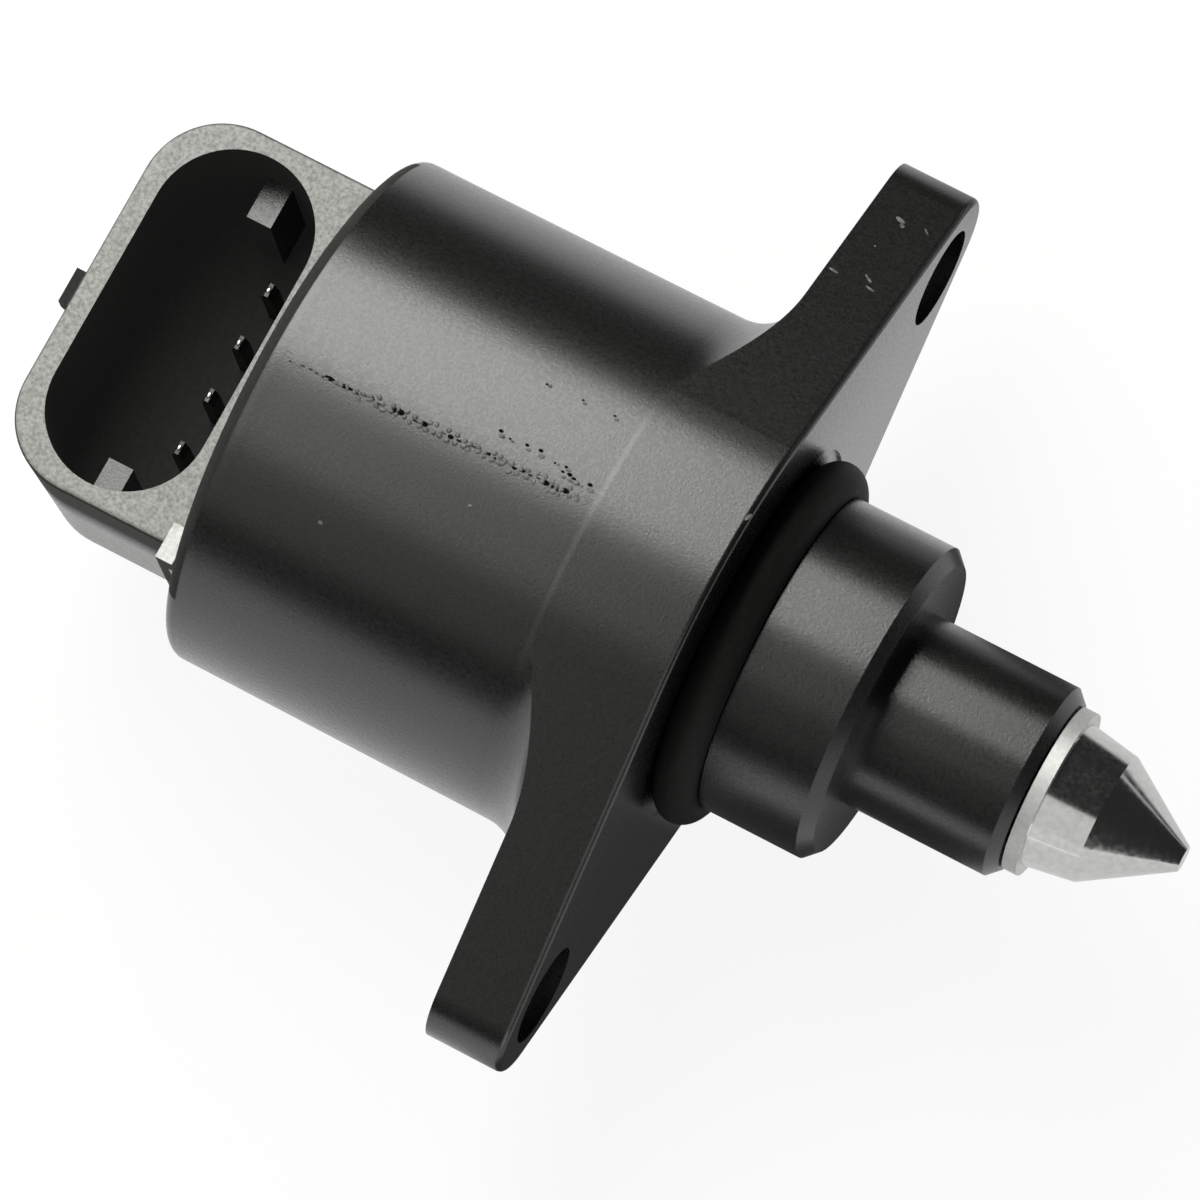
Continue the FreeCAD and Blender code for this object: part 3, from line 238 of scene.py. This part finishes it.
def parts_of(tree, vector):
    """The X, Y and Z of a vector."""
    separate = tree.nodes.new("ShaderNodeSeparateXYZ")
    tree.links.new(vector, separate.inputs["Vector"])
    return separate.outputs


def noise(tree, size, detail=3.0, stretch=(1, 1, 1)):
    """Noise whose blotches are about the given size."""
    texture = tree.nodes.new("ShaderNodeTexNoise")
    texture.inputs["Scale"].default_value = 1 / size
    texture.inputs["Detail"].default_value = detail
    tree.links.new(object_place(tree, stretch), texture.inputs["Vector"])
    return texture.outputs["Fac"]


def remap(tree, value, from_low, from_high, low=0.0, high=1.0):
    """Stretches a range of values onto another one, and holds it at the ends."""
    ramp = tree.nodes.new("ShaderNodeMapRange")
    ramp.inputs["From Min"].default_value = from_low
    ramp.inputs["From Max"].default_value = from_high
    ramp.inputs["To Min"].default_value = low
    ramp.inputs["To Max"].default_value = high
    tree.links.new(value, ramp.inputs["Value"])
    return ramp.outputs["Result"]


def spread(tree, noisy, low, high):
    """Noise, which keeps mostly between 0.3 and 0.7, as values between low and high."""
    return remap(tree, noisy, 0.3, 0.7, low, high)


def combine(tree, operation, first, second):
    result = tree.nodes.new("ShaderNodeMath")
    result.operation = operation
    tree.links.new(first, result.inputs[0])
    tree.links.new(second, result.inputs[1])
    return result.outputs["Value"]


def times(tree, first, *others):
    for other in others:
        first = combine(tree, "MULTIPLY", first, other)
    return first


def mix_shaders(tree, share, first, second):
    mix = tree.nodes.new("ShaderNodeMixShader")
    tree.links.new(share, mix.inputs["Fac"])
    tree.links.new(first, mix.inputs[1])
    tree.links.new(second, mix.inputs[2])
    return mix.outputs["Shader"]


def two_tone(tree, shader, noisy, dark, light):
    """Base colour that wanders between two colours."""
    mix = tree.nodes.new("ShaderNodeMix")
    mix.data_type = "RGBA"
    mix.inputs["A"].default_value = (*dark, 1)
    mix.inputs["B"].default_value = (*light, 1)
    tree.links.new(spread(tree, noisy, 0, 1), mix.inputs["Factor"])
    tree.links.new(mix.outputs["Result"], shader.inputs["Base Color"])


def second_finish(tree, roughness, blotch, dark, light):
    """Another Principled shader for a part of a material, in two tones."""
    shader = tree.nodes.new("ShaderNodeBsdfPrincipled")
    shader.inputs["Roughness"].default_value = roughness
    two_tone(tree, shader, noise(tree, blotch), dark, light)
    return shader


def wander_roughness(tree, shader, blotch, low, high):
    tree.links.new(spread(tree, noise(tree, blotch), low, high), shader.inputs["Roughness"])


def bump(tree, shader, height, depth, strength):
    node = tree.nodes.new("ShaderNodeBump")
    node.inputs["Strength"].default_value = strength
    node.inputs["Distance"].default_value = depth
    tree.links.new(height, node.inputs["Height"])
    tree.links.new(node.outputs["Normal"], shader.inputs["Normal"])


def show(tree, surface):
    tree.links.new(surface, tree.nodes["Material Output"].inputs["Surface"])


# Materials
def moulded_plastic(name, dark, light, roughness, specular, grain=0.14 * MM, depth=0.014 * MM):
    """Plastic or rubber with the fine grain of its mould."""
    material, tree, shader = new_material(name, dark, roughness, specular=specular)
    two_tone(tree, shader, noise(tree, 0.3 * MM), dark, light)
    wander_roughness(tree, shader, 0.25 * MM, roughness - 0.03, roughness + 0.04)
    bump(tree, shader, noise(tree, grain, 2.0), depth, 0.6)
    return material


def turned_metal(name, dark, light, roughness, pitch=0.12 * MM, depth=0.0006 * MM):
    """Metal with the fine rings that a lathe leaves about the valve axis."""
    material, tree, shader = new_material(name, dark, roughness, metallic=1.0)
    two_tone(tree, shader, noise(tree, 0.5 * MM), dark, light)
    wander_roughness(tree, shader, 0.3 * MM, roughness - 0.04, roughness + 0.05)
    bump(tree, shader, noise(tree, pitch, 1.0, (1, 0.02, 0.02)), depth, 0.6)
    return material


def frost_collar(material):
    """Gives the collar of the pintle a blasted finish, paler than the turned metal in front of it."""
    tree = material.node_tree
    edge = 0.02 * MM
    smooth = tree.nodes["Principled BSDF"]
    blasted = second_finish(tree, 0.5, 0.3 * MM, (0.62, 0.62, 0.61), (0.74, 0.74, 0.73))
    blasted.inputs["Metallic"].default_value = 0.6
    place = parts_of(tree, object_place(tree))
    on_collar = remap(tree, place["X"], COLLAR_FRONT + edge, COLLAR_FRONT - edge)
    show(tree, mix_shaders(tree, on_collar, smooth.outputs["BSDF"], blasted.outputs["BSDF"]))


def plain_metal(name, dark, light, roughness):
    """Pressed or drawn metal without marks of a lathe."""
    material, tree, shader = new_material(name, dark, roughness, metallic=1.0)
    two_tone(tree, shader, noise(tree, 1.0 * MM), dark, light)
    wander_roughness(tree, shader, 0.4 * MM, roughness - 0.06, roughness + 0.06)
    bump(tree, shader, noise(tree, 0.1 * MM), 0.002 * MM, 0.4)
    return material


def facing_middle(tree, at, normal):
    """How far a surface faces the middle of the socket, in metres: above 0 on the socket's inner walls."""
    to_middle = tree.nodes.new("ShaderNodeVectorMath")
    to_middle.operation = "SUBTRACT"
    to_middle.inputs[0].default_value = SOCKET_MIDDLE
    tree.links.new(at, to_middle.inputs[1])
    inward = tree.nodes.new("ShaderNodeVectorMath")
    inward.operation = "DOT_PRODUCT"
    tree.links.new(to_middle.outputs["Vector"], inward.inputs[0])
    tree.links.new(normal, inward.inputs[1])
    return inward.outputs["Value"]


def socket_plastic(plain):
    """The case's plastic, with the pale worn rim of the socket, and painted light and shade: painted shade
    with a faint painted glow inside the socket, in the joint and on the nub, painted light on the lower end
    wall, and painted highlights on the rib and the lug.
    """
    material = plain.copy()
    material.name = "socket_plastic"
    tree = material.node_tree
    moulded = tree.nodes["Principled BSDF"]
    # Worn finish of the rim, also used as painted light on the lower end wall
    worn_and_lit = second_finish(tree, 0.5, 0.22 * MM, (0.2, 0.2, 0.19), (0.42, 0.42, 0.4))
    bump(tree, worn_and_lit, noise(tree, 0.15 * MM), 0.01 * MM, 0.6)
    # Painted shade: a matte dark finish for the unlit inside of the socket, the joint and the nub
    painted_shade = second_finish(tree, 0.75, 0.3 * MM, (0.02, 0.02, 0.019), (0.03, 0.03, 0.028))
    painted_shade.inputs["Specular IOR Level"].default_value = 0.12
    # Faint glow: painted light that lifts the black of the shaded inside
    painted_shade.inputs["Emission Color"].default_value = (1, 1, 0.97, 1)
    painted_shade.inputs["Emission Strength"].default_value = 0.006
    # Painted highlight on the lug's upward face
    lug_highlight = second_finish(tree, 0.4, 0.3 * MM, (0.6, 0.6, 0.58), (0.85, 0.85, 0.82))
    # Painted highlight: a pale streak where light catches the rib near the +Y end
    rib_highlight = second_finish(tree, 0.6, 0.5 * MM, (0.1, 0.1, 0.097), (0.5, 0.5, 0.48))
    normal = tree.nodes.new("ShaderNodeNewGeometry").outputs["True Normal"]
    facing = parts_of(tree, normal)
    at = object_place(tree)
    place = parts_of(tree, at)

    def above(height, blur=0.05 * MM):
        return remap(tree, place["Z"], height - blur, height + blur)

    def behind(x, blur=0.04 * MM):
        return remap(tree, place["X"], x + blur, x - blur)

    def below_rim(start, end, high=1.0):
        """Grows from nothing to high between two depths below the rim, in mm."""
        return remap(tree, place["Z"], RIM_Z - start * MM, RIM_Z - end * MM, 0, high)

    # A face counts as rim or rib when it lies within this of their height
    band = 0.25 * MM
    past_plate = behind(PLATE_REAR - 0.05 * MM)
    clear_of_plate = behind(PLATE_REAR - 0.5 * MM)
    upward = remap(tree, facing["Z"], 0.6, 0.95)
    # Painted shade on the inner walls of the socket
    in_socket = times(tree, remap(tree, facing_middle(tree, at, normal), 0, 0.1 * MM), clear_of_plate)
    # Painted highlight on the rib's upward face
    near_rib = remap(tree, place["Y"], 10.4 * MM, 9.4 * MM)
    on_rib = times(tree, upward, above(RIB_Z - band), clear_of_plate, near_rib)
    on_rim = times(tree, upward, above(RIM_Z - band), past_plate)
    # Painted shade on the nub at the rear, too
    on_nub = behind(SOCKET_REAR + LATCH_PROUD)
    # Painted highlight on the top of the lug
    on_lug = times(tree, upward, above(RIM_Z + 1.0 * MM), past_plate)
    end_wall = times(tree, remap(tree, facing["Y"], -0.5, -0.9), clear_of_plate)
    # Painted light on the lower part of the -Y end wall
    lit_low_end = times(tree, end_wall, below_rim(6, 10, 0.5))
    # Painted shade in the upper part of the -Y end wall
    shaded_high_end = times(tree, end_wall, below_rim(8, 4))
    # Painted shadow in the gap between the rim strip and the case
    joint_shadow = times(tree, behind(CASE_REAR - 0.4 * MM), above(RIM_Z - 0.3 * MM))
    surface = moulded.outputs["BSDF"]
    for share, finish in (
        (joint_shadow, painted_shade), (shaded_high_end, painted_shade), (lit_low_end, worn_and_lit), (in_socket, painted_shade),
        (on_rib, rib_highlight), (on_rim, worn_and_lit), (on_nub, painted_shade), (on_lug, lug_highlight),
    ):
        surface = mix_shaders(tree, share, surface, finish.outputs["BSDF"])
    show(tree, surface)
    return material


def make_materials():
    """Every finish by name: the function that makes it, two tones, roughness, and what else it takes."""
    finishes = {
        "case_plastic": (moulded_plastic, (0.005, 0.005, 0.0046), (0.010, 0.010, 0.0094), 0.27, 0.9),
        "seal_rubber": (moulded_plastic, (0.012, 0.012, 0.0115), (0.018, 0.018, 0.017), 0.6, 0.15),
        "pintle_aluminium": (turned_metal, (0.66, 0.66, 0.65), (0.76, 0.76, 0.75), 0.15),
        "motor_steel": (plain_metal, (0.42, 0.42, 0.43), (0.58, 0.58, 0.6), 0.32),
        "nut_brass": (turned_metal, (0.62, 0.44, 0.17), (0.74, 0.56, 0.26), 0.24),
        "coil_copper": (turned_metal, (0.5, 0.2, 0.09), (0.64, 0.28, 0.13), 0.33, 0.25 * MM, 0.02 * MM),
        "magnet_ferrite": (moulded_plastic, (0.03, 0.03, 0.032), (0.06, 0.06, 0.064), 0.55, 0.4),
        "bush_bronze": (turned_metal, (0.36, 0.24, 0.12), (0.5, 0.35, 0.2), 0.42),
        # Tin kept very dark: painted shade of the deep socket on the terminals
        "terminal_tin": (plain_metal, (0.06, 0.06, 0.058), (0.09, 0.09, 0.087), 0.45),
        "terminal_glint": (plain_metal, (0.7, 0.7, 0.68), (0.85, 0.85, 0.83), 0.3),
        "motor_plastic": (moulded_plastic, (0.6, 0.56, 0.47), (0.7, 0.66, 0.58), 0.45, 0.5),
        # Painted shadow for the pits of the mould flash
        "pit_shade": (moulded_plastic, (0.002, 0.002, 0.002), (0.004, 0.004, 0.004), 0.8, 0.05),
        "scuffed_plastic": (moulded_plastic, (0.06, 0.06, 0.058), (0.26, 0.26, 0.25), 0.6, 0.5),
        "flash_plastic": (moulded_plastic, (0.03, 0.03, 0.028), (0.16, 0.16, 0.152), 0.45, 0.7),
    }
    made = {name: make(name, *values) for name, (make, *values) in finishes.items()}
    frost_collar(made["pintle_aluminium"])
    made["socket_plastic"] = socket_plastic(made["case_plastic"])
    return made


def dress_frame(materials):
    """Gives every CAD node its finish."""
    for name, node in nodes.items():
        finish = "socket_plastic" if name == "connector_cover" else slot_of[name]
        node.data.materials.clear()
        node.data.materials.append(materials[finish])


# Details
def case_radius(x):
    """Outside of the drafted case at a place along the axis."""
    share = min(max((FLANGE_REAR - x) / (FLANGE_REAR - CASE_REAR), 0), 1)
    return HUB_RADIUS + (CASE_REAR_RADIUS - HUB_RADIUS) * share


def add_mesh(name, mesh, material, body="housing"):
    data = bpy.data.meshes.new(name)
    for face in mesh.faces:
        face.smooth = True
    mesh.to_mesh(data)
    mesh.free()
    data.materials.append(material)
    piece = bpy.data.objects.new(name, data)
    link(piece)
    if body:
        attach(piece, body)
    return piece


def add_lump(mesh, at, normal, along, length, width, height):
    """Low rounded lump that stands on a surface, its length laid along a direction."""
    normal = normal.normalized()
    along = (along - normal * along.dot(normal)).normalized()
    axes = turned(along * length / 2, normal.cross(along) * width / 2, normal * height)
    bmesh.ops.create_icosphere(mesh, subdivisions=2, radius=1, matrix=Matrix.Translation(at) @ axes)


def join_rings(mesh, rings):
    """Faces between rings of vertices, each ring joined to the next."""
    for first, second in zip(rings, rings[1:]):
        count = len(first)
        for index in range(count):
            after = (index + 1) % count
            mesh.faces.new((first[index], first[after], second[after], second[index]))


def on_case(x, y):
    """Point of the case's upper side and the way out of it."""
    radius = case_radius(x)
    z = math.sqrt(radius * radius - y * y)
    return Vector((x, y, z)), Vector((0, y, z)).normalized()


def lump_height(x, wanted):
    """Height that keeps a lump on the case below the hub."""
    return min(wanted, HUB_RADIUS - case_radius(x) - LUMP_CLEARANCE)


def add_flash_line(lumps, pit_shadows, chance):
    """Ragged line along the case: painted shadows of pits in the middle, as dark low lumps, and beads on both
    sides that grow towards the front.
    """
    x = FLASH_REAR
    while x < FLASH_FRONT:
        ragged = min(1, max(FLASH_LEAST, (x - FLASH_FADE_START) / FLASH_FADE))
        run = (x - CASE_REAR) / (FLASH_FRONT - CASE_REAR)
        y = FLASH_SIDE + FLASH_SLANT * run + chance.uniform(-0.08, 0.08) * MM
        length = chance.uniform(0.25, 0.55) * MM
        at, normal = on_case(x, y)
        deep = chance.random() < 0.12
        width = (0.08 + 0.2 * ragged * chance.random() + (0.2 if deep else 0)) * MM
        if deep or chance.random() < 0.8:
            add_lump(pit_shadows, at, normal, AXIS, length * (1.4 if deep else 0.8), width, PIT_SHADOW_HEIGHT)
        x += length * 0.7
        for side in (-1, 1):
            away = side * chance.uniform(0.06, 0.32) * ragged * MM
            at, normal = on_case(x + chance.uniform(-0.1, 0.1) * MM, y + away)
            slant = Vector((1, chance.uniform(-0.6, 0.6), 0))
            bead = chance.uniform(0.22, 0.5) * MM
            width = (0.09 + 0.25 * ragged) * MM
            add_lump(lumps, at, normal, slant, bead, width, lump_height(x, BEAD_HEIGHT * ragged))
        x += 0.2 * MM


def add_specks(lumps, pit_shadows, chance):
    """Rows of small painted pit shadows beside the flash, each a dark low lump with a bead at its edge, and
    two lone beads.
    """
    for start, side, count, step in SPECK_ROWS:
        for index in range(count):
            spot = (start + index * step + chance.uniform(-0.2, 0.2)) * MM
            at, normal = on_case(spot, (side + chance.uniform(-0.2, 0.2)) * MM)
            size = chance.uniform(0.18, 0.36) * MM
            add_lump(pit_shadows, at, normal, AXIS, size, size * 0.7, PIT_SHADOW_HEIGHT)
            at, normal = on_case(spot + 0.2 * MM, (side - 0.2) * MM)
            add_lump(lumps, at, normal, AXIS, size * 1.4, size * 0.8, lump_height(spot, SPECK_HEIGHT))
    for spot, side in LONE_SPECKS:
        at, normal = on_case(spot * MM, side * MM)
        add_lump(lumps, at, normal, AXIS, *LONE_SPECK_SIZE, lump_height(spot * MM, SPECK_HEIGHT))


def add_mould_flash(materials):
    """Ragged line that the two halves of the mould leave along the top of the case, and specks beside it."""
    chance = random.Random(4)
    lumps, pit_shadows = bmesh.new(), bmesh.new()
    add_flash_line(lumps, pit_shadows, chance)
    add_specks(lumps, pit_shadows, chance)
    add_mesh("mould_flash", lumps, materials["flash_plastic"])
    # Dark low lumps: painted shadow in the pits
    add_mesh("mould_flash_pit_shadows", pit_shadows, materials["pit_shade"])


def add_scuffs(materials):
    """Light handling marks on the side of the upper ear, and nicks in the front edge of the hub."""
    mesh = bmesh.new()
    lean = math.asin((HUB_RADIUS - EAR_TIP_RADIUS) / (EAR_END - EAR_TIP_RADIUS))
    normal = Vector((0, math.sin(lean), math.cos(lean)))
    down = Vector((0, math.cos(lean), -math.sin(lean)))
    foot = normal * HUB_RADIUS
    for x, y, length, width, turn in EAR_MARKS:
        at = foot + down * ((y * MM - foot.y) / down.y) + AXIS * x * MM
        along = down * math.cos(turn) + AXIS * math.sin(turn)
        add_lump(mesh, at, normal, along, length * MM, width * MM, MARK_HEIGHT)
    for x, y in HUB_NICKS:
        at, normal = on_case(x * MM, y * MM)
        add_lump(mesh, at - normal * NICK_HEIGHT, normal, NICK_ALONG, *NICK_SIZE, NICK_HEIGHT)
    add_mesh("ear_scuffs", mesh, materials["scuffed_plastic"])


def add_terminal_tips(materials):
    """Painted highlights: bright lumps on top of the terminal tips."""
    mesh = bmesh.new()
    for name in nodes:
        if slot_of[name] == "terminal_tin":
            low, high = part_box(name)
            tip = max(corners(name), key=lambda at: (round(at.z, 6), at.x, at.y))
            glint_at = Vector((tip.x - TIP_BACK, (low.y + high.y) / 2, tip.z - TIP_SINK))
            add_lump(mesh, glint_at, UP, ACROSS, *TIP_SIZE)
    add_mesh("terminal_tips", mesh, materials["terminal_glint"])


def add_cover_weld(materials):
    """Thin weld film over the joint of the case and its rear cover."""
    mesh = bmesh.new()
    steps, radius = 240, CASE_REAR_RADIUS + WELD_PROUD
    angles = [math.tau * step / steps for step in range(steps)]
    rings = []
    for place, sink in WELD_RINGS:
        x, reach = CASE_REAR + place * MM, radius - sink * MM
        circle = [(x, reach * math.cos(angle), reach * math.sin(angle)) for angle in angles]
        rings.append([mesh.verts.new(point) for point in circle])
    join_rings(mesh, rings)
    bmesh.ops.recalc_face_normals(mesh, faces=mesh.faces)
    add_mesh("cover_weld", mesh, materials["case_plastic"])


def add_spring(materials):
    """Round wire spring between the guide bush and the collar."""
    low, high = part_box("pintle_spring")
    radii = [math.hypot(at.y, at.z) for at in corners("pintle_spring")]
    wire = (max(radii) - min(radii)) / 2
    middle = max(radii) - wire
    start, end = low.x + wire, high.x - wire
    steps, sides = 40, 10
    count = SPRING_TURNS * steps
    mesh = bmesh.new()
    rings = []
    for index in range(count + 1):
        angle = math.tau * index / steps
        out = Vector((0, -math.cos(angle), -math.sin(angle)))
        centre = out * middle + AXIS * (start + (end - start) * index / count)
        ring = []
        for side in range(sides):
            around = math.tau * side / sides
            offset = out * math.cos(around) + AXIS * math.sin(around)
            ring.append(mesh.verts.new(centre + offset * wire))
        rings.append(ring)
    join_rings(mesh, rings)
    mesh.faces.new(rings[0])
    mesh.faces.new(reversed(rings[-1]))
    bmesh.ops.recalc_face_normals(mesh, faces=mesh.faces)
    spring = add_mesh("pintle_spring_wire", mesh, materials["motor_steel"], body=None)
    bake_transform(spring)
    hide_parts("pintle_spring")


# Stage
def add_area_light(name, width, height, radiance, colour, place):
    """Soft rectangular light of a given brightness, whatever its size."""
    data = bpy.data.lights.new(name, "AREA")
    data.shape = "RECTANGLE"
    data.size, data.size_y = width, height
    data.energy = radiance * math.pi * width * height
    data.color = colour
    light = bpy.data.objects.new(name, data)
    light.matrix_world = place
    link(light)


def add_panel(name, low_angle, high_angle, distance, left, right, radiance):
    """Soft light panel beside the valve: angles from straight up towards +Y, and its reach along X."""
    middle = math.radians((low_angle + high_angle) / 2)
    height = 2 * distance * math.tan(math.radians((high_angle - low_angle) / 2))
    outward = Vector((0, math.sin(middle), math.cos(middle)))
    turn = turned(AXIS, outward.cross(AXIS), outward)
    place = Matrix.Translation(outward * distance + AXIS * (left + right) / 2) @ turn
    add_area_light(name, right - left, height, radiance, WARM_WHITE, place)


def add_card(name, outward, distance, width, height, radiance):
    """Soft card that faces the valve from a direction and fills in the other views."""
    outward = Vector(outward).normalized()
    turn = outward.to_track_quat("Z", "Y").to_matrix().to_4x4()
    add_area_light(name, width, height, radiance, WHITE, Matrix.Translation(outward * distance) @ turn)


def add_lights():
    add_card("rear_card", (-1, 0.1, 0.3), 0.5, 0.5, 0.3, 1.6)
    add_card("side_card", (0.45, 0.9, 0.06), 0.6, 0.3, 0.08, 0.8)
    add_card("low_side_card", (0.5, -0.85, 0.15), 0.6, 0.35, 0.2, 1.0)
    add_panel("softbox", 5, 56, PANEL_DISTANCE, PANEL_REAR, -0.052, 5.8)
    add_panel("overhead", -34, 5, PANEL_DISTANCE, PANEL_REAR, -0.068, 1.5)
    add_panel("overhead_side", -66, -34, PANEL_DISTANCE, PANEL_REAR, -0.068, 0.5)
    add_panel("front_card", -100, -18, 0.40, 0.03, 0.45, 0.66)


def painted_reflection_level(tree):
    """Brightness of the painted reflection of the floor: painted shadow of the valve beside and below the
    nose, and painted dark beside the upper ear and far out on the +Y side.
    """
    place = parts_of(tree, object_place(tree))

    def ramp(axis, start, end, low=0.0, high=1.0):
        return remap(tree, place[axis], start * MM, end * MM, low, high)

    # Painted shadow of the valve beside and below the nose, and painted dark beside the upper ear
    beside_nose = times(tree, ramp("X", -7, -1), ramp("Y", 0, -10))
    below_nose = ramp("X", 7, 11)
    beside_ear = times(tree, ramp("X", -12, -4, 0, 0.6), ramp("Y", 32, 45))
    shade = combine(tree, "MAXIMUM", beside_nose, below_nose)
    shade = combine(tree, "MAXIMUM", shade, beside_ear)
    shade = times(tree, shade, ramp("X", 19, 16), ramp("Y", -70, -50))
    lit = remap(tree, shade, 0, 1, MIRRORED_FLOOR, MIRRORED_SHADE * MIRRORED_FLOOR)
    return times(tree, lit, ramp("Y", 60, 125, 1.0, 0.04), ramp("X", 16, 19, 1.0, 0.7))


def add_floor():
    """Pale floor that keeps a faint shadow. Reflections see a glowing painted reflection of it instead, with
    painted shadow and painted dark patches.
    """
    low = min(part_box(name)[0].z for name in nodes)
    bpy.ops.mesh.primitive_plane_add(size=FLOOR_SIZE, location=(0, 0, low - FLOOR_GAP))
    floor = bpy.context.object
    floor.name = "floor"
    material = bpy.data.materials.new("floor")
    material.use_nodes = True
    tree = material.node_tree
    tree.nodes.remove(tree.nodes["Principled BSDF"])
    paper = tree.nodes.new("ShaderNodeBsdfDiffuse")
    paper.inputs["Color"].default_value = PAPER_COLOUR
    bright = tree.nodes.new("ShaderNodeEmission")
    bright.inputs["Strength"].default_value = FLOOR_GLOW
    # Painted reflection: a glow that only glossy rays see
    reflection_glow = tree.nodes.new("ShaderNodeEmission")
    tree.links.new(painted_reflection_level(tree), reflection_glow.inputs["Strength"])
    rays = tree.nodes.new("ShaderNodeLightPath").outputs
    seen = remap(tree, rays["Is Camera Ray"], 0, 1, 0, FLOOR_GLOW_SHARE)
    reflected = reflection_glow.outputs["Emission"]
    surface = mix_shaders(tree, rays["Is Glossy Ray"], paper.outputs["BSDF"], reflected)
    show(tree, mix_shaders(tree, seen, surface, bright.outputs["Emission"]))
    floor.data.materials.append(material)


def add_world():
    """White background that lights the valve only faintly."""
    world = bpy.data.worlds.new("studio")
    bpy.context.scene.world = world
    world.use_nodes = True
    tree = world.node_tree
    rays = tree.nodes.new("ShaderNodeLightPath")
    level = remap(tree, rays.outputs["Is Camera Ray"], 0, 1, WORLD_LIGHT, 1.0)
    tree.nodes["Background"].inputs["Color"].default_value = (1, 1, 1, 1)
    tree.links.new(level, tree.nodes["Background"].inputs["Strength"])


add_camera()
add_floor()
add_world()
add_lights()
materials = make_materials()
dress_frame(materials)
add_mould_flash(materials)
add_scuffs(materials)
add_terminal_tips(materials)
add_cover_weld(materials)
add_spring(materials)
bpy.context.scene.view_settings.view_transform = "Standard"
